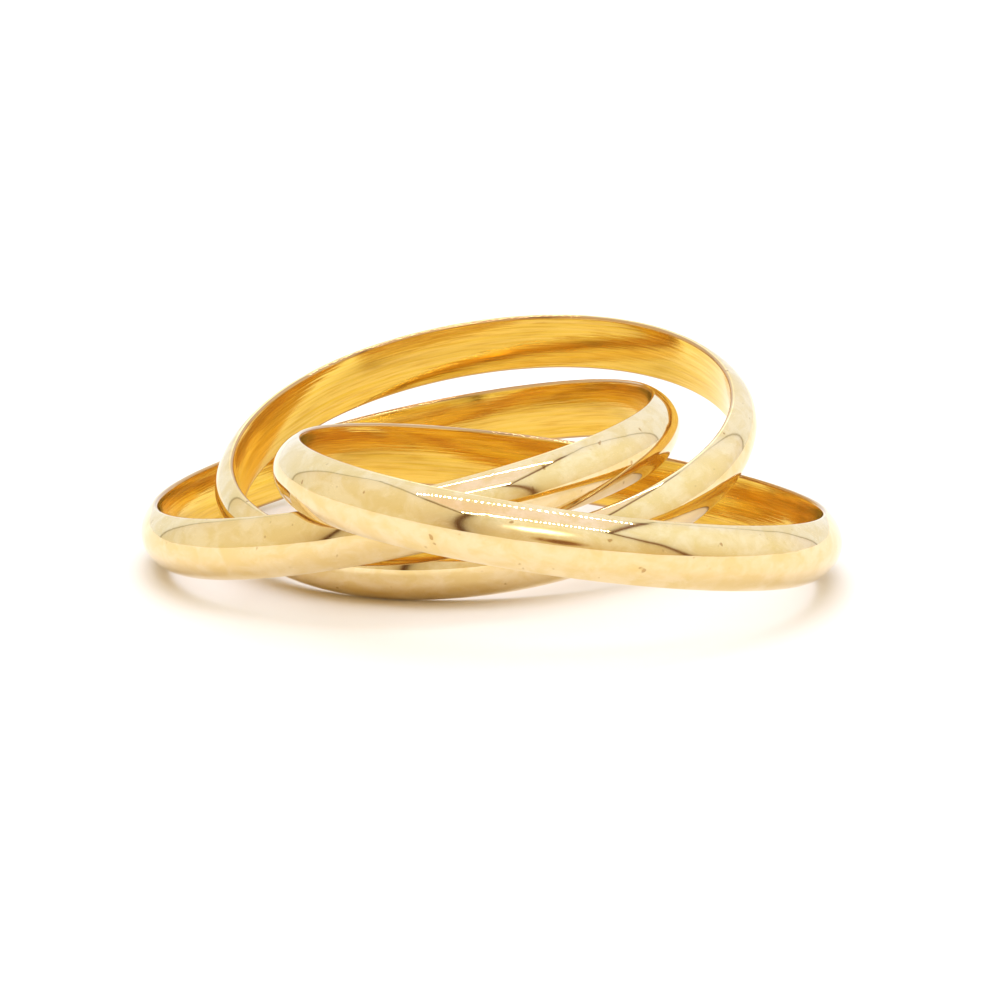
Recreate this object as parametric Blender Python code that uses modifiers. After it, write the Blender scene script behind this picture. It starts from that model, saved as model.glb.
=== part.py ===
"""Rolling ring of three plain domed gold bands, each linked through the other two.

The bands lie splayed on a flat surface. Metres, +Z up, X to the right and Y away from the
front. The origin is on the surface, under the middle of the bounding box.
"""
import math
from collections import namedtuple

import bmesh
import bpy
import numpy as np
from mathutils import Matrix, Vector

MM = 0.001

# Driving sizes of one band, shared by all three
INSIDE_DIAMETER = 18.0 * MM
BAND_WIDTH = 2.2 * MM
BAND_THICKNESS = 0.9 * MM
# Height of the band's side at its edge, where the dome begins
EDGE_HEIGHT = 0.22 * MM
# Rounding of the two inner edges, and the most of the edge height that it may take
INNER_EDGE_RADIUS = 0.12 * MM
ROUNDING_LIMIT = 0.9
# Shape of the dome: 1 is half an ellipse, 2 a parabola
DOME_EXPONENT = 1.7

# Gap kept between two bands where they cross
BAND_CLEARANCE = 0.25 * MM

# Facets
STEPS_AROUND = 72
DOME_SEGMENTS = 10
EDGE_SEGMENTS = 2

# How each band lies. lift is how far its high side is raised, in band widths with their
# clearance, low_side the compass angle on the surface (0 = right, 90 = away) towards the edge
# it rests on, and across and away are the place of its centre, in shares of the inside radius.
BandPlace = namedtuple("BandPlace", "name lift low_side across away")
BAND_PLACES = (
    BandPlace(name="front_band", lift=1.640, low_side=29.3, across=0.234, away=-1.079),
    BandPlace(name="left_band", lift=1.276, low_side=158.2, across=-0.348, away=-0.314),
    BandPlace(name="back_band", lift=1.653, low_side=-114.4, across=-0.046, away=-0.165),
)

# The bands are eased apart in small moves until each pair keeps its clearance. A push on the
# side of a free hoop moves that spot three times as far as the centre, so each of two bands
# takes a sixth of what the gap lacks.
EASING_ROUNDS = 400
EASING_SHARE = 1 / 6
CLEARANCE_TOLERANCE = 0.01
SKIN_ANGLES = np.radians(np.arange(0, 360, 2))

RIGHT = np.array([1.0, 0.0, 0.0])
AWAY = np.array([0.0, 1.0, 0.0])
DOWN = np.array([0.0, 0.0, -1.0])

GOLD_COLOUR = (0.93, 0.66, 0.27, 1.0)
GOLD_ROUGHNESS = 0.14


def band_section():
    """Closed outline of the band's section as (radius, height) pairs, down its outer side."""
    inside = INSIDE_DIAMETER / 2
    half = BAND_WIDTH / 2
    rounding = min(INNER_EDGE_RADIUS, EDGE_HEIGHT * ROUNDING_LIMIT)
    quarter = [math.pi / 2 * i / EDGE_SEGMENTS for i in range(EDGE_SEGMENTS + 1)]
    upper_edge = [
        (inside + rounding * (1 - math.cos(a)), half - rounding * (1 - math.sin(a)))
        for a in quarter
    ]
    dome_rise = BAND_THICKNESS - EDGE_HEIGHT
    dome = []
    for i in range(DOME_SEGMENTS + 1):
        a = math.pi * i / DOME_SEGMENTS
        rise = dome_rise * max(math.sin(a), 0.0) ** DOME_EXPONENT
        dome.append((inside + EDGE_HEIGHT + rise, half * math.cos(a)))
    lower_edge = [(radius, -height) for radius, height in reversed(upper_edge)]
    return np.array(upper_edge + dome + lower_edge)


class Band:
    """Where one band lies: its centre and its axis."""

    def __init__(self, place):
        lean = math.asin(place.lift * (BAND_WIDTH + BAND_CLEARANCE) / INSIDE_DIAMETER)
        low_side = math.radians(place.low_side)
        radius = INSIDE_DIAMETER / 2
        self.name = place.name
        self.centre = np.array([place.across * radius, place.away * radius, 0.0])
        self.axis = np.array([
            math.sin(lean) * math.cos(low_side),
            math.sin(lean) * math.sin(low_side),
            math.cos(lean),
        ])

    def reach(self, direction, section):
        """How far the band reaches from the origin along a unit direction."""
        along = float(self.axis @ direction)
        outward = math.sqrt(max(0.0, 1 - along * along))
        return float(self.centre @ direction + np.max(section @ [outward, along]))

    def low_direction(self):
        """Unit direction in the band's plane, from its centre to its lowest side."""
        flat = DOWN - (DOWN @ self.axis) * self.axis
        return flat / np.linalg.norm(flat)

    def rest_on_surface(self, section):
        self.centre = self.centre - DOWN * self.reach(DOWN, section)

    def skin(self, section):
        """Points all over the band."""
        first = self.low_direction()
        second = np.cross(self.axis, first)
        around = np.outer(np.cos(SKIN_ANGLES), first) + np.outer(np.sin(SKIN_ANGLES), second)
        radii = section[:, 0][:, None, None]
        heights = section[:, 1][:, None, None]
        return (self.centre + radii * around + heights * self.axis).reshape(-1, 3)

    def nudge(self, point, push):
        """Move the band as a free rigid hoop pushed at a point."""
        hoop_radius = INSIDE_DIAMETER / 2 + BAND_THICKNESS / 2
        turn = np.cross(point - self.centre, push) * 2 / hoop_radius ** 2
        self.centre = self.centre + push
        self.axis = self.axis + np.cross(turn, self.axis)
        self.axis /= np.linalg.norm(self.axis)


def closest_approach(band, other, section):
    """Gap from the skin of one band to another band, with the point and the way out there."""
    edges = np.roll(section, -1, axis=0) - section
    normals = np.stack([-edges[:, 1], edges[:, 0]], axis=1)
    normals /= np.linalg.norm(normals, axis=1)[:, None]
    points = band.skin(section)
    offset = points - other.centre
    height = offset @ other.axis
    outward = offset - height[:, None] * other.axis
    radius = np.linalg.norm(outward, axis=1)
    depth = np.stack([radius, height], axis=1) @ normals.T - np.sum(section * normals, axis=1)
    gaps = depth.max(axis=1)
    nearest = int(gaps.argmin())
    normal = normals[depth[nearest].argmax()]
    way_out = normal[0] * outward[nearest] / radius[nearest] + normal[1] * other.axis
    return gaps[nearest], points[nearest], way_out


def lay_out_bands(section):
    """Rest each band on the surface and ease neighbours apart until they are clear."""
    bands = [Band(place) for place in BAND_PLACES]
    for band in bands:
        band.rest_on_surface(section)
    for _ in range(EASING_ROUNDS):
        worst = 0.0
        for band in bands:
            for other in bands:
                if other is band:
                    continue
                gap, point, way_out = closest_approach(band, other, section)
                lack = BAND_CLEARANCE - gap
                if lack > 0:
                    band.nudge(point, way_out * lack * EASING_SHARE)
                    other.nudge(point, way_out * -lack * EASING_SHARE)
                    worst = max(worst, lack)
        for band in bands:
            band.rest_on_surface(section)
        if worst < BAND_CLEARANCE * CLEARANCE_TOLERANCE:
            break
    centre_on_origin(bands, section)
    return bands


def centre_on_origin(bands, section):
    """Move all bands so that the middle of their bounding box is over the origin."""
    for direction in (RIGHT, AWAY):
        high = max(band.reach(direction, section) for band in bands)
        low = -max(band.reach(-direction, section) for band in bands)
        for band in bands:
            band.centre = band.centre - direction * (high + low) / 2


def gold(name):
    material = bpy.data.materials.new(name)
    material.use_nodes = True
    shader = material.node_tree.nodes["Principled BSDF"]
    shader.inputs["Base Color"].default_value = GOLD_COLOUR
    shader.inputs["Metallic"].default_value = 1.0
    shader.inputs["Roughness"].default_value = GOLD_ROUGHNESS
    return material


def make_band(band, section, collection):
    """The band's section turned about its own axis, with its lowest corner at a facet edge."""
    mesh = bpy.data.meshes.new(band.name)
    outline = bmesh.new()
    corners = [outline.verts.new((radius, 0.0, height)) for radius, height in section]
    for i, corner in enumerate(corners):
        outline.edges.new((corner, corners[(i + 1) % len(corners)]))
    outline.to_mesh(mesh)
    outline.free()
    mesh.materials.append(gold(band.name + "_gold"))

    obj = bpy.data.objects.new(band.name, mesh)
    collection.objects.link(obj)
    turn = obj.modifiers.new("turn", "SCREW")
    turn.axis = "Z"
    turn.angle = 2 * math.pi
    turn.steps = STEPS_AROUND
    turn.render_steps = STEPS_AROUND
    turn.use_merge_vertices = True
    turn.merge_threshold = 0.01 * MM
    turn.use_smooth_shade = True

    low = Vector(band.low_direction())
    axis = Vector(band.axis)
    side = axis.cross(low)
    obj.rotation_euler = Matrix((low, side, axis)).transposed().to_euler()
    obj.location = Vector(band.centre)
    return obj


def main():
    for obj in list(bpy.data.objects):
        bpy.data.objects.remove(obj, do_unlink=True)
    collection = bpy.data.collections.new("rolling_ring")
    bpy.context.scene.collection.children.link(collection)
    section = band_section()
    for band in lay_out_bands(section):
        make_band(band, section, collection)


main()
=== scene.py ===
import math
from collections import namedtuple

import bpy
import numpy as np
from mathutils import Matrix, Vector


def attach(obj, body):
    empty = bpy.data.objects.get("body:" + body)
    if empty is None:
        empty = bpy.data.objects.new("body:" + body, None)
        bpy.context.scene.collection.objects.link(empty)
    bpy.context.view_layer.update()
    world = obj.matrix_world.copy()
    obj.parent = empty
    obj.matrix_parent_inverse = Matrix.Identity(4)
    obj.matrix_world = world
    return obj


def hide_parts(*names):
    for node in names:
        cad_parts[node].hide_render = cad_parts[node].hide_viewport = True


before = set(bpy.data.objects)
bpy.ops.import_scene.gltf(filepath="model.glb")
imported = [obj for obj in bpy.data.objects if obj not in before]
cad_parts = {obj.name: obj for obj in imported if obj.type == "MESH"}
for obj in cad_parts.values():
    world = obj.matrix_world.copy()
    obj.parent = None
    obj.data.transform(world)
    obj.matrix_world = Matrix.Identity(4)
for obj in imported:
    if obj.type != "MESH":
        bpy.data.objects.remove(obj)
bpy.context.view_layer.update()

# Rolling ring: three linked domed gold bands, splayed on a pale surface in a light tent.
# Metres, +Z up, X to the right and Y away from the camera.
MM = 0.001
SEED = 7
BANDS = ("front_band", "left_band", "back_band")

# Corners of a solid, in metres, are the same where they agree to this many decimals
SAME_CORNER_DECIMALS = 8

# Band section, beyond what the frame gives
EDGE_HEIGHT = 0.22 * MM
INNER_EDGE_RADIUS = 0.12 * MM
DOME_EXPONENT = 1.7
# How far the inner wall's edges fall back behind its middle
WALL_CROWN = 0.06 * MM

STEPS_AROUND = 960
DOME_SEGMENTS = 44
EDGE_SEGMENTS = 5
HALF_WALL_SEGMENTS = 6

# Slow unevenness of the polished skin: waves round the band, their turns and their slant
WAVES = 14
WAVE_TURNS = (5, 40)
WAVE_SLANT = 1.2 / MM
WAVE_SHARE = (0.4, 1.0)
WAVE_SIZE = 0.025 * MM
# Small dents: where they lie across the band, how wide they are and how deep for their width
DENTS = 46
DENT_LEVEL = 0.9 * MM
DENT_REACH = (0.10 * MM, 0.34 * MM)
DENT_DEPTH = (0.008, 0.022)

# Gold of the polished domes, with lighter mottling and brown pits
DOME_GOLD = (0.776, 0.588, 0.258, 1)
DOME_GOLD_LIGHT = (0.796, 0.612, 0.298, 1)
MOTTLE_GOLD = (0.840, 0.680, 0.395, 1)
PIT_BROWN = (0.42, 0.22, 0.06, 1)
PIT_SHARE = (0.0, 0.7)
DOME_ROUGHNESS = (0.022, 0.038)
# Gold of the turned inner walls, with darker hairlines. It is painted deeper and more orange
# than the domes' gold, as painted light bounced between the gold walls of the hollow.
WALL_GOLD_PAINTED_BOUNCE = (0.855, 0.560, 0.066, 1)
WALL_GOLD_LIGHT_PAINTED_BOUNCE = (0.922, 0.645, 0.150, 1)
HAIRLINE_BROWN = (0.60, 0.27, 0.01, 1)
HAIRLINE_SHARE = (0.34, 0.0)
WALL_ROUGHNESS = (0.06, 0.12)
# Metallic share of the domes and of the walls, which scatter a little more light
METALLIC = (0.96, 0.86)
# Painted dark line where the dome and the wall meet, a painted reflection along the rounded
# edge
PAINTED_RIM_REFLECTION = (0.47, 0.27, 0.15, 1)
PAINTED_RIM_REFLECTION_STRENGTH = 3.2
# Relief: its full depth, and the shares of the patterns on the domes and the walls
BUMP_DEPTH = 0.003 * MM
DOME_GRAIN = 0.04
DOME_BLOTCH = 0.6
WALL_HAIRLINE = 0.8
WALL_GRAIN = 0.12
# How far apart the noise of one band lies from that of the next, in millimetres
NOISE_SHIFT = 13.0

# Patterns, stretched by their features per millimetre along X, Y and the band's axis
Pattern = namedtuple("Pattern", "stretch detail roughness distortion", defaults=(0.5, 0.0))
BLOTCH = Pattern((1.1, 1.1, 1.6), 3.0)
GRAIN = Pattern((16.0, 16.0, 16.0), 2.0)
LATHE = Pattern((0.12, 0.12, 11.0), 4.0, 0.62)
HAIRLINE = Pattern((0.7, 0.7, 14.0), 1.0)
MOTTLE = Pattern((1.0, 1.0, 1.5), 4.0, 0.6, 0.4)
PITS = Pattern((3.1, 3.1, 3.1), 1.0)
# Values of the patterns between which one look turns into the other
EVEN_RANGE = (0.35, 0.65)
MOTTLE_RANGE = (0.42, 0.62)
PIT_RANGE = (0.735, 0.790)
HAIRLINE_RANGE = (0.32, 0.54)
DOME_ROUGH_RANGE = (0.40, 0.70)
WALL_ROUGH_RANGE = (0.35, 0.70)
FULL = (0.0, 1.0)

# Camera
CAMERA_PLACE = (2.84 * MM, -158.66 * MM, 42.68 * MM)
CAMERA_RIGHT = (0.99848, 0.0, -0.05510)
CAMERA_FORWARD = (-0.0136, 0.9691, -0.2463)
CAMERA_LENS_MM = 166.65
SENSOR_MM = 36.0
CLIP_START = 10 * MM
CLIP_END = 10.0

# Light tent. Its places are in shares of its height, with the ring standing at the origin.
TENT_HEIGHT = 0.45
TENT_LIGHT = 1.22
WORLD_LIGHT = 1.1
FLOOR_REACH = 1.4
FLOOR_COLOUR = (0.93, 0.88, 0.80, 1)
FLOOR_ROUGHNESS = 0.6
# Corners of the ground plan
FRONT_LEFT = (-0.47, -0.62)
FRONT_RIGHT = (0.57, -0.60)
FRONT_RIGHT_FOOT = (0.57, -0.43)
BACK_LEFT = (-0.50, 0.45)
BACK_RIGHT = (0.57, 0.45)
# Places where the seams at the top change their look
LEFT_CHANGE = (-0.48, -0.10)
RIGHT_CHANGE = (0.57, 0.22)

# Seams of the cloth, dark in their half width, with a soft shade of some depth beside them
Seam = namedtuple("Seam", "start end width tint reach depth")
SEAMS = (
    Seam((*FRONT_LEFT, 0), (*FRONT_LEFT, 1), 0.046, (0.26, 0.13, 0.05), 0.110, 0.36),
    Seam((*FRONT_RIGHT_FOOT, 0), (*FRONT_RIGHT, 1), 0.040, (0.34, 0.18, 0.09), 0.080, 0.28),
    Seam((*BACK_LEFT, 0), (*BACK_LEFT, 1), 0.012, (0.50, 0.45, 0.35), 0.050, 0.10),
    Seam((*BACK_RIGHT, 0), (*BACK_RIGHT, 1), 0.012, (0.50, 0.45, 0.35), 0.050, 0.10),
    Seam((*FRONT_LEFT, 1), (*LEFT_CHANGE, 1), 0.030, (0.40, 0.28, 0.16), 0.060, 0.20),
    Seam((*LEFT_CHANGE, 1), (*BACK_LEFT, 1), 0.018, (0.50, 0.44, 0.30), 0.050, 0.12),
    Seam((*FRONT_RIGHT, 1), (*RIGHT_CHANGE, 1), 0.040, (0.26, 0.12, 0.08), 0.060, 0.20),
    Seam((*RIGHT_CHANGE, 1), (*BACK_RIGHT, 1), 0.014, (0.50, 0.45, 0.35), 0.050, 0.10),
)
# Bright opening over the camera: the middle of its glow, its reach and its strength
GLARE = np.array((0.0, -0.56, 0.46))
GLARE_SIZE = np.array((0.090, 1.0, 0.080))
GLARE_STRENGTH = 5.0
# Grid of a seamed panel, close at its edges
EDGE_STEPS = (0, 0.01, 0.02, 0.03, 0.045, 0.065)
MIDDLE_STEPS = tuple(i / 28 for i in range(3, 26))
SHARES = sorted({*EDGE_STEPS, *(1 - e for e in EDGE_STEPS), *MIDDLE_STEPS})

# Colours of the cloth, a row for each level from the floor up. The left and right walls run
# from front to back, the others from left to right. The top's rows run from front to back.
LEVELS = (0, 0.12, 0.3, 0.6, 1)
LEFT_CLOTH = (
    ((0.68, 0.55, 0.34), (0.84, 0.76, 0.57), (0.87, 0.82, 0.70), (0.80, 0.80, 0.78)),
    ((0.68, 0.52, 0.32), (0.87, 0.78, 0.60), (0.89, 0.84, 0.70), (0.81, 0.80, 0.76)),
    ((0.71, 0.56, 0.36), (0.87, 0.78, 0.60), (0.90, 0.85, 0.74), (0.86, 0.83, 0.80)),
    ((0.78, 0.68, 0.48), (0.88, 0.80, 0.63), (0.92, 0.88, 0.80), (0.87, 0.85, 0.82)),
    ((0.84, 0.74, 0.56), (0.90, 0.83, 0.68), (0.93, 0.90, 0.85), (0.89, 0.88, 0.85)),
)
RIGHT_CLOTH = (
    ((0.76, 0.62, 0.40), (0.84, 0.77, 0.63), (0.88, 0.86, 0.86), (0.84, 0.84, 0.99)),
    ((0.86, 0.76, 0.56), (0.92, 0.88, 0.78), (0.95, 0.95, 0.93), (0.89, 0.89, 1.03)),
    ((0.90, 0.84, 0.70), (0.95, 0.96, 0.93), (1.00, 1.02, 1.04), (0.93, 0.97, 1.10)),
    ((0.93, 0.90, 0.84), (0.98, 1.02, 1.04), (1.01, 1.06, 1.11), (0.94, 0.98, 1.13)),
    ((0.95, 0.95, 0.94), (0.99, 1.03, 1.08), (1.01, 1.06, 1.13), (0.95, 0.99, 1.15)),
)
BACK_CLOTH = (
    ((0.88, 0.92, 0.96), (0.90, 0.94, 1.04)),
    ((0.93, 0.97, 1.06), (0.96, 1.00, 1.14)),
)
FRONT_CLOTH = (
    ((0.62, 0.52, 0.36), (0.78, 0.69, 0.52), (0.70, 0.55, 0.33), (0.76, 0.62, 0.38),
     (0.66, 0.48, 0.25)),
    ((0.62, 0.52, 0.36), (0.78, 0.67, 0.50), (0.74, 0.60, 0.38), (0.80, 0.70, 0.50),
     (0.70, 0.54, 0.33)),
    ((0.64, 0.54, 0.38), (0.80, 0.70, 0.56), (0.90, 0.84, 0.70), (0.90, 0.85, 0.72),
     (0.78, 0.66, 0.44)),
    ((0.74, 0.66, 0.52), (0.90, 0.86, 0.78), (1.00, 0.98, 0.90), (0.95, 0.94, 0.88),
     (0.84, 0.78, 0.64)),
    ((0.84, 0.79, 0.68), (0.92, 0.90, 0.84), (1.05, 1.08, 1.04), (1.00, 1.03, 1.04),
     (0.92, 0.90, 0.84)),
)
TOP_CLOTH = (
    ((0.92, 0.89, 0.80), (0.95, 0.98, 0.96)),
    ((0.90, 0.84, 0.76), (0.95, 0.94, 0.96)),
    ((0.97, 1.02, 1.20), (0.97, 1.02, 1.20)),
)
# Level panels inside the tent: where they are and the colours of their left and right
Level = namedtuple("Level", "left right front back height")
MIDDLE_PLACE = Level(left=-0.425, right=0.4845, front=-0.40, back=0.02, height=0.995)
MIDDLE_COLOURS = ((0.95, 0.80, 0.80), (0.96, 0.93, 1.10))
LAMP_LIGHT_PLACE = Level(left=-0.45, right=0.513, front=-0.54, back=0.405, height=0.97)
LAMP_LIGHT_COLOURS = ((2.14, 2.22, 2.60), (2.14, 2.22, 2.60))

# Two rows of small lamps on their pale bars
BAR_ROWS = (0.11, -0.48)
BAR_LEFT = -0.44
BAR_RIGHT = 0.54
BAR_HALF_DEPTH = 0.03
BAR_HEIGHT = 0.985
BAR_COLOURS = ((1.1, 1.0, 0.85), (1.1, 1.0, 0.85))
LAMPS = 38
LAMP_LEFT = -0.42
LAMP_SPAN = 0.94
LAMP_HEIGHT = 0.980
LAMP_HALF_WIDTH = 0.0034
LAMP_HALF_DEPTH = 0.023
LAMP_STRENGTH = 60.0
# The lamps' long sides fan out to the left and right of this place
LAMP_FAN_MIDDLE = 0.22
CORNER_SIGNS = ((-1, -1), (1, -1), (1, 1), (-1, 1))

# Dark shape of the camera, in metres: radius and tint, out to where it fades into the cloth
CAMERA_SHADE_PLACE = (0.0105, -0.200, 0.0400)
CAMERA_SHADE = (
    (0.008, (0.24, 0.10, 0.03)),
    (0.018, (0.32, 0.15, 0.05)),
    (0.027, (0.62, 0.47, 0.27)),
    (0.036, (0.74, 0.62, 0.42)),
)
CAMERA_SHADE_STRETCH = 1.25
CAMERA_SHADE_CORNERS = 32


def new_material(name):
    material = bpy.data.materials.new(name)
    material.use_nodes = True
    return material, material.node_tree.nodes, material.node_tree.links


def add_object(name, mesh):
    obj = bpy.data.objects.new(name, mesh)
    bpy.context.scene.collection.objects.link(obj)
    return obj


def band_place(node):
    """Centre and axes of a band as the frame holds it, with its radii and half width."""
    co = np.array([v.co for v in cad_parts[node].data.vertices], float)
    # Corners that several faces share count once
    co = np.unique(np.round(co, SAME_CORNER_DECIMALS), axis=0)
    centre = co.mean(axis=0)
    axis = np.linalg.svd(co - centre, full_matrices=False)[2][2]
    axis = axis * np.sign(axis[2])
    down = np.array([0.0, 0.0, -1.0])
    low = down - (down @ axis) * axis
    low = low / np.linalg.norm(low)
    side = np.cross(axis, low)
    offset = co - centre
    height = offset @ axis
    radius = np.linalg.norm(offset - height[:, None] * axis, axis=1)
    return centre, (low, side, axis), radius.min(), radius.max(), np.abs(height).max()


def band_section(inside, outside, half):
    """Section as (radius, height, inner share) rows, from the middle of the wall upwards."""
    rounding = INNER_EDGE_RADIUS
    wall_top = half - rounding
    upper = []
    for i in range(HALF_WALL_SEGMENTS):
        share = i / HALF_WALL_SEGMENTS
        upper.append((inside + WALL_CROWN * share ** 2, wall_top * share, 1.0))
    for i in range(EDGE_SEGMENTS + 1):
        a = math.pi / 2 * i / EDGE_SEGMENTS
        radius = inside + WALL_CROWN + rounding * (1 - math.cos(a))
        upper.append((radius, half - rounding * (1 - math.sin(a)), 1 - i / EDGE_SEGMENTS))
    rise = outside - inside - EDGE_HEIGHT
    dome = []
    for i in range(DOME_SEGMENTS + 1):
        a = math.pi * i / DOME_SEGMENTS
        height = rise * max(math.sin(a), 0.0) ** DOME_EXPONENT
        dome.append((inside + EDGE_HEIGHT + height, half * math.cos(a), 0.0))
    lower = [(radius, -height, inner) for radius, height, inner in reversed(upper[1:])]
    return np.array(upper + dome + lower)


def wear(angle, height, rng, hoop):
    """Height of the worn skin over the true one: slow unevenness and small dents."""
    skin = np.zeros(np.broadcast(angle, height).shape)
    for _ in range(WAVES):
        turns = int(rng.integers(*WAVE_TURNS))
        across = rng.uniform(-WAVE_SLANT, WAVE_SLANT)
        size = rng.uniform(*WAVE_SHARE) * WAVE_SIZE / turns
        start = rng.uniform(0, 2 * math.pi)
        skin = skin + size * np.sin(turns * angle + across * height + start)
    for _ in range(DENTS):
        at = rng.uniform(0, 2 * math.pi)
        level = rng.uniform(-DENT_LEVEL, DENT_LEVEL)
        reach = rng.uniform(*DENT_REACH)
        depth = reach * rng.uniform(*DENT_DEPTH)
        along = hoop * np.angle(np.exp(1j * (angle - at)))
        gap = (along ** 2 + (height - level) ** 2) / reach ** 2
        skin = skin - depth * np.exp(-gap)
    return skin


def make_band(node, body, seed, material):
    """Smooth mesh of one band, turned about its own axis, in place of the frame's solid."""
    centre, axes, inside, outside, half = band_place(node)
    section = band_section(inside, outside, half)
    rng = np.random.default_rng(SEED + seed)
    angle = np.arange(STEPS_AROUND)[:, None] * 2 * math.pi / STEPS_AROUND
    radius, height, inner = (
        np.repeat(section[:, column][None, :], STEPS_AROUND, axis=0) for column in range(3)
    )
    radius = radius + wear(angle, height, rng, inside) * (1 - inner)
    co = np.stack([radius * np.cos(angle), radius * np.sin(angle), height], axis=-1)
    count = section.shape[0]
    first = np.arange(STEPS_AROUND)[:, None] * count + np.arange(count)[None, :]
    after = np.roll(first, -1, axis=0)
    faces = [first, after, np.roll(after, -1, axis=1), np.roll(first, -1, axis=1)]
    faces = np.stack(faces, -1).reshape(-1, 4)
    placed = np.asarray(centre) + co.reshape(-1, 3) @ np.array(axes)

    mesh = bpy.data.meshes.new(node + "_polished")
    mesh.from_pydata(placed.tolist(), [], faces.tolist())
    mesh.polygons.foreach_set("use_smooth", [True] * len(mesh.polygons))
    attribute = mesh.attributes.new("inner", "FLOAT", "POINT")
    attribute.data.foreach_set("value", inner.astype(np.float32).ravel())
    attribute = mesh.attributes.new("band_place", "FLOAT_VECTOR", "POINT")
    attribute.data.foreach_set("vector", (co / MM).astype(np.float32).ravel())
    mesh.update()
    mesh.materials.append(material)
    obj = add_object(node + "_polished", mesh)
    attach(obj, body)
    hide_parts(node)


def make_gold(name, shift):
    """Gold, polished on the domes and turned on the inner walls, in the band's own place,
    with painted bounce light on the walls and a painted dark reflection line at the rims.
    """
    material, nodes, links = new_material(name)
    shader = nodes["Principled BSDF"]

    place = nodes.new("ShaderNodeAttribute")
    place.attribute_name = "band_place"
    move = nodes.new("ShaderNodeVectorMath")
    move.operation = "ADD"
    move.inputs[1].default_value = (shift, -shift, 0.0)
    links.new(place.outputs["Vector"], move.inputs[0])

    inner = nodes.new("ShaderNodeAttribute")
    inner.attribute_name = "inner"
    inside = inner.outputs["Fac"]

    def noise(pattern):
        mapping = nodes.new("ShaderNodeVectorMath")
        mapping.operation = "MULTIPLY"
        mapping.inputs[1].default_value = pattern.stretch
        links.new(move.outputs[0], mapping.inputs[0])
        node = nodes.new("ShaderNodeTexNoise")
        node.inputs["Scale"].default_value = 1.0
        node.inputs["Detail"].default_value = pattern.detail
        node.inputs["Roughness"].default_value = pattern.roughness
        node.inputs["Distortion"].default_value = pattern.distortion
        links.new(mapping.outputs[0], node.inputs["Vector"])
        return node.outputs["Fac"]

    def ramp(value, span, result):
        node = nodes.new("ShaderNodeMapRange")
        node.inputs["From Min"].default_value = span[0]
        node.inputs["From Max"].default_value = span[1]
        node.inputs["To Min"].default_value = result[0]
        node.inputs["To Max"].default_value = result[1]
        links.new(value, node.inputs["Value"])
        return node.outputs["Result"]

    def fill(socket, value):
        if isinstance(value, (int, float, tuple)):
            socket.default_value = value
        else:
            links.new(value, socket)

    def mix_colour(factor, a, b):
        node = nodes.new("ShaderNodeMix")
        node.data_type = "RGBA"
        links.new(factor, node.inputs["Factor"])
        fill(node.inputs["A"], a)
        fill(node.inputs["B"], b)
        return node.outputs["Result"]

    def mix_value(factor, a, b):
        node = nodes.new("ShaderNodeMix")
        links.new(factor, node.inputs["Factor"])
        links.new(a, node.inputs["A"])
        links.new(b, node.inputs["B"])
        return node.outputs["Result"]

    def maths(operation, a, b):
        node = nodes.new("ShaderNodeMath")
        node.operation = operation
        fill(node.inputs[0], a)
        fill(node.inputs[1], b)
        return node.outputs[0]

    def times(value, factor):
        return maths("MULTIPLY", value, factor)

    blotch = noise(BLOTCH)
    grain = noise(GRAIN)
    lathe = noise(LATHE)
    hairline = noise(HAIRLINE)
    mottle = noise(MOTTLE)
    pits = noise(PITS)

    dome = mix_colour(ramp(blotch, EVEN_RANGE, FULL), DOME_GOLD, DOME_GOLD_LIGHT)
    dome = mix_colour(ramp(mottle, MOTTLE_RANGE, FULL), dome, MOTTLE_GOLD)
    dome = mix_colour(ramp(pits, PIT_RANGE, PIT_SHARE), dome, PIT_BROWN)
    # Walls: the domes' gold painted deeper and more orange, as painted bounce light of the
    # hollow
    wall = mix_colour(ramp(lathe, EVEN_RANGE, FULL), WALL_GOLD_PAINTED_BOUNCE, WALL_GOLD_LIGHT_PAINTED_BOUNCE)
    wall = mix_colour(ramp(hairline, HAIRLINE_RANGE, HAIRLINE_SHARE), wall, HAIRLINE_BROWN)
    # Painted dark reflection line along the rim, strongest where the inner share is half
    painted_rim_line = times(inside, maths("SUBTRACT", 1.0, inside))
    colour = mix_colour(inside, dome, wall)
    colour = mix_colour(times(painted_rim_line, PAINTED_RIM_REFLECTION_STRENGTH), colour, PAINTED_RIM_REFLECTION)
    links.new(colour, shader.inputs["Base Color"])
    links.new(ramp(inside, FULL, METALLIC), shader.inputs["Metallic"])

    dome_rough = ramp(blotch, DOME_ROUGH_RANGE, DOME_ROUGHNESS)
    wall_rough = ramp(lathe, WALL_ROUGH_RANGE, WALL_ROUGHNESS)
    links.new(mix_value(inside, dome_rough, wall_rough), shader.inputs["Roughness"])

    dome_bump = maths("ADD", times(grain, DOME_GRAIN), times(blotch, DOME_BLOTCH))
    wall_bump = maths("ADD", lathe, times(hairline, WALL_HAIRLINE))
    wall_bump = maths("ADD", wall_bump, times(grain, WALL_GRAIN))
    bump = nodes.new("ShaderNodeBump")
    bump.inputs["Strength"].default_value = 1.0
    bump.inputs["Distance"].default_value = BUMP_DEPTH
    links.new(mix_value(inside, dome_bump, wall_bump), bump.inputs["Height"])
    links.new(bump.outputs["Normal"], shader.inputs["Normal"])
    return material


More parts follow.
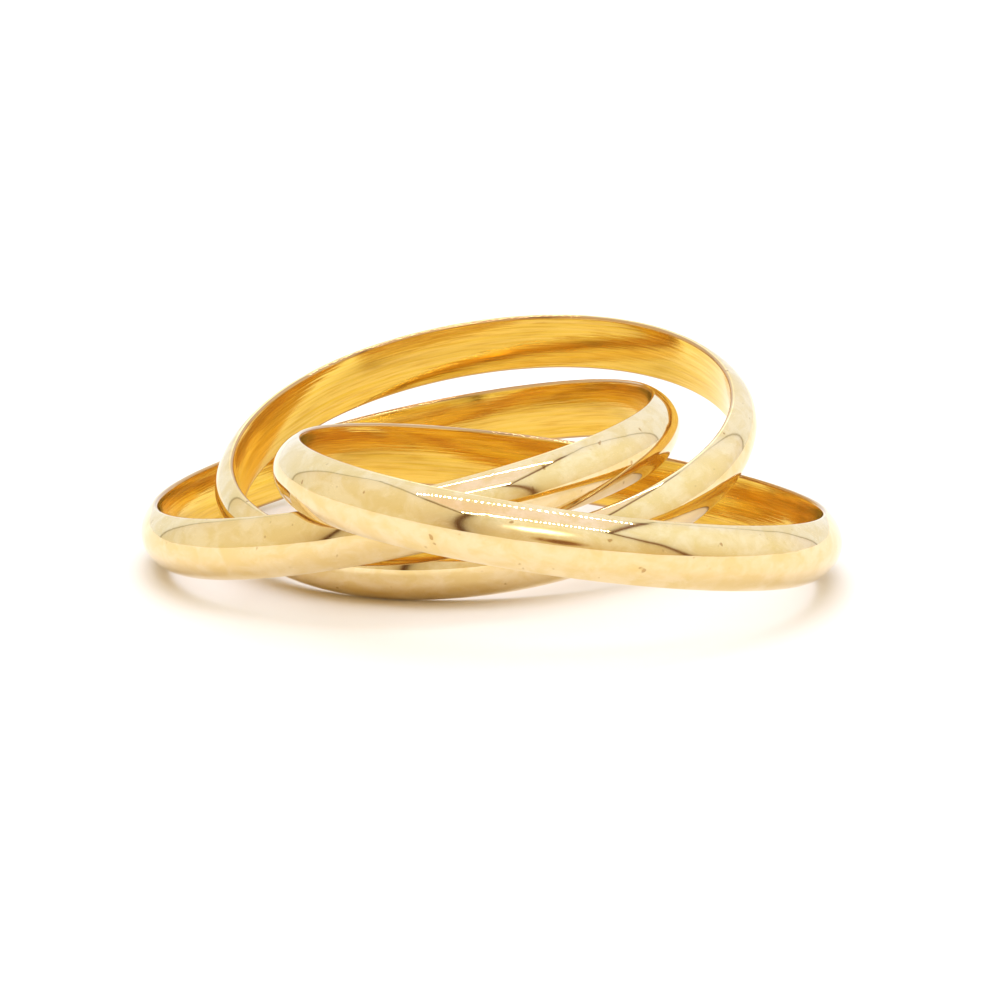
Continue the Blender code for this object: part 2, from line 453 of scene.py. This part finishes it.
def emitter(name, strength, colour=None, sampled=False):
    """Glowing material, of one colour or of the mesh's own corner colours."""
    material, nodes, links = new_material(name)
    material.cycles.emission_sampling = "AUTO" if sampled else "NONE"
    nodes.remove(nodes["Principled BSDF"])
    glow = nodes.new("ShaderNodeEmission")
    glow.inputs["Strength"].default_value = strength
    if colour is None:
        tint = nodes.new("ShaderNodeAttribute")
        tint.attribute_name = "glow"
        links.new(tint.outputs["Color"], glow.inputs["Color"])
    else:
        glow.inputs["Color"].default_value = (*colour, 1.0)
    links.new(glow.outputs[0], nodes["Material Output"].inputs["Surface"])
    return material


def stage_mesh(name, corners, faces, material, seen=False, colours=None):
    """Piece of the staging, hidden from the camera unless seen."""
    mesh = bpy.data.meshes.new(name)
    mesh.from_pydata(corners, [], faces)
    if colours is not None:
        layer = mesh.attributes.new("glow", "FLOAT_COLOR", "POINT")
        rows = np.array([(*c, 1.0) for c in colours], np.float32)
        layer.data.foreach_set("color", rows.ravel())
    mesh.materials.append(material)
    obj = add_object(name, mesh)
    obj.visible_camera = seen
    return obj


def tent(x, y, z):
    return (x * TENT_HEIGHT, y * TENT_HEIGHT, z * TENT_HEIGHT)


def seam_shade(point):
    """Tint of the cloth at a place in the tent: dark along the seams, soft beside them."""
    tint = np.ones(3)
    for seam in SEAMS:
        start, end = np.array(seam.start, float), np.array(seam.end, float)
        line = end - start
        along = np.clip((point - start) @ line / (line @ line), 0, 1)
        gap = np.linalg.norm(point - start - along * line)
        core = math.exp(-((gap / seam.width) ** 2))
        soft = 1 - seam.depth * math.exp(-gap / seam.reach)
        tint = tint * (1 - core * (1 - np.array(seam.tint))) * soft
    return tint


def blend(share, places, colours):
    """Colour at a share of the way along a row of colours."""
    return np.array([np.interp(share, places, colours[:, c]) for c in range(3)])


def panel(name, corners, colours, levels=None, seamed=False, sampled=False):
    """Glowing panel; corners go lower left, lower right, upper left, upper right."""
    grid = np.array(colours, float)
    levels = levels or np.linspace(0, 1, grid.shape[0])
    columns = np.linspace(0, 1, grid.shape[1])
    ll, lr, ul, ur = np.array(corners, float)
    ups, acrosses = (SHARES, SHARES) if seamed else (levels, columns)
    places, tints = [], []
    for v in ups:
        row = np.array([blend(v, levels, grid[:, j]) for j in range(grid.shape[1])])
        for u in acrosses:
            point = (ll * (1 - u) + lr * u) * (1 - v) + (ul * (1 - u) + ur * u) * v
            colour = blend(u, columns, row)
            if seamed:
                glare = math.exp(-(((point - GLARE) / GLARE_SIZE) ** 2).sum())
                colour = colour * seam_shade(point) + glare * GLARE_STRENGTH
            places.append(tent(*point))
            tints.append(tuple(colour))
    wide = len(acrosses)
    faces = [
        (i * wide + j, i * wide + j + 1, (i + 1) * wide + j + 1, (i + 1) * wide + j)
        for i in range(len(ups) - 1)
        for j in range(wide - 1)
    ]
    glow = emitter(name, TENT_LIGHT, sampled=sampled)
    return stage_mesh(name, places, faces, glow, colours=tints)


def level_panel(name, place, colours, sampled=False):
    """Level panel of one depth of colour, facing the ring."""
    left, right, front, back, height = place
    corners = (
        (left, front, height),
        (right, front, height),
        (left, back, height),
        (right, back, height),
    )
    return panel(name, corners, (colours, colours), sampled=sampled)


def make_cloth():
    """The tent's walls and top, and the warm cloth between its light bars."""
    front_left, front_right = (*FRONT_LEFT, 0), (*FRONT_RIGHT_FOOT, 0)
    back_left, back_right = (*BACK_LEFT, 0), (*BACK_RIGHT, 0)
    top_front_left, top_front_right = (*FRONT_LEFT, 1), (*FRONT_RIGHT, 1)
    top_back_left, top_back_right = (*BACK_LEFT, 1), (*BACK_RIGHT, 1)
    left = (front_left, back_left, top_front_left, top_back_left)
    right = (front_right, back_right, top_front_right, top_back_right)
    back = (back_left, back_right, top_back_left, top_back_right)
    front = (front_left, front_right, top_front_left, top_front_right)
    over = (top_front_left, top_front_right, top_back_left, top_back_right)
    panel("tent_left", left, LEFT_CLOTH, LEVELS, seamed=True)
    panel("tent_right", right, RIGHT_CLOTH, LEVELS, seamed=True)
    panel("tent_back", back, BACK_CLOTH, seamed=True)
    panel("tent_front", front, FRONT_CLOTH, LEVELS, seamed=True)
    top = panel("tent_top", over, TOP_CLOTH, seamed=True)
    middle = level_panel("tent_middle", MIDDLE_PLACE, MIDDLE_COLOURS)
    top.visible_diffuse = False
    middle.visible_diffuse = False


def make_lamps():
    """Rows of lamps for the reflections, and their light on the floor as one even panel."""
    corners, faces = [], []
    for number, y in enumerate(BAR_ROWS):
        for i in range(LAMPS):
            x = LAMP_LEFT + LAMP_SPAN * i / (LAMPS - 1)
            n = len(corners)
            for across, along in CORNER_SIGNS:
                slant = (x - LAMP_FAN_MIDDLE) * along * LAMP_HALF_DEPTH
                place_x = x - slant + across * LAMP_HALF_WIDTH
                corners.append(tent(place_x, y + along * LAMP_HALF_DEPTH, LAMP_HEIGHT))
            faces.append((n, n + 1, n + 2, n + 3))
        front, back = y - BAR_HALF_DEPTH, y + BAR_HALF_DEPTH
        place = Level(BAR_LEFT, BAR_RIGHT, front, back, BAR_HEIGHT)
        level_panel("bar_%d" % number, place, BAR_COLOURS)
    glow = emitter("lamp", LAMP_STRENGTH, (1.0, 1.0, 1.0), sampled=True)
    lamps = stage_mesh("lamp_rows", corners, faces, glow)
    lamps.visible_diffuse = False
    light = level_panel("lamp_light", LAMP_LIGHT_PLACE, LAMP_LIGHT_COLOURS, sampled=True)
    light.visible_glossy = False


def make_camera_shade():
    """Dark shape of the camera that photographs the ring, as rings of corners."""
    place = Vector(CAMERA_SHADE_PLACE)
    away = place.normalized()
    right = Vector((0, 0, 1)).cross(away).normalized()
    up = away.cross(right)
    count = CAMERA_SHADE_CORNERS
    corners, colours = [], []
    for radius, shade in CAMERA_SHADE:
        for i in range(count):
            a = 2 * math.pi * i / count
            across = right * math.cos(a) * CAMERA_SHADE_STRETCH
            corners.append(tuple(place + (across + up * math.sin(a)) * radius))
            colours.append(shade)
    faces = [tuple(range(count))]
    for k in range(len(CAMERA_SHADE) - 1):
        for i in range(count):
            j = (i + 1) % count
            inner, outer = k * count, (k + 1) * count
            faces.append((inner + i, inner + j, outer + j, outer + i))
    glow = emitter("camera_shade", TENT_LIGHT)
    stage_mesh("camera_shade", corners, faces, glow, colours=colours)


def make_floor():
    material, nodes, _ = new_material("pale_floor")
    shader = nodes["Principled BSDF"]
    shader.inputs["Base Color"].default_value = FLOOR_COLOUR
    shader.inputs["Roughness"].default_value = FLOOR_ROUGHNESS
    reach = TENT_HEIGHT * FLOOR_REACH
    corners = [(x * reach, y * reach, 0) for x, y in CORNER_SIGNS]
    stage_mesh("floor", corners, [(0, 1, 2, 3)], material, seen=True)


def make_camera():
    camera = bpy.data.cameras.new("camera")
    camera.lens = CAMERA_LENS_MM
    camera.sensor_width = SENSOR_MM
    camera.clip_start = CLIP_START
    camera.clip_end = CLIP_END
    obj = add_object("camera", camera)
    forward = Vector(CAMERA_FORWARD).normalized()
    right = Vector(CAMERA_RIGHT)
    right = (right - forward * right.dot(forward)).normalized()
    up = right.cross(forward)
    turn = Matrix((right, up, -forward)).transposed().to_4x4()
    obj.matrix_world = Matrix.Translation(Vector(CAMERA_PLACE)) @ turn
    bpy.context.scene.camera = obj


def make_world():
    world = bpy.data.worlds.new("white")
    bpy.context.scene.world = world
    world.use_nodes = True
    back = world.node_tree.nodes["Background"]
    back.inputs["Color"].default_value = (1.0, 1.0, 1.0, 1.0)
    back.inputs["Strength"].default_value = WORLD_LIGHT


bpy.context.scene.view_settings.view_transform = "Standard"
for number, band in enumerate(BANDS):
    make_band(band, band, number, make_gold(band + "_polished_gold", NOISE_SHIFT * number))
make_floor()
make_cloth()
make_lamps()
make_camera_shade()
make_camera()
make_world()
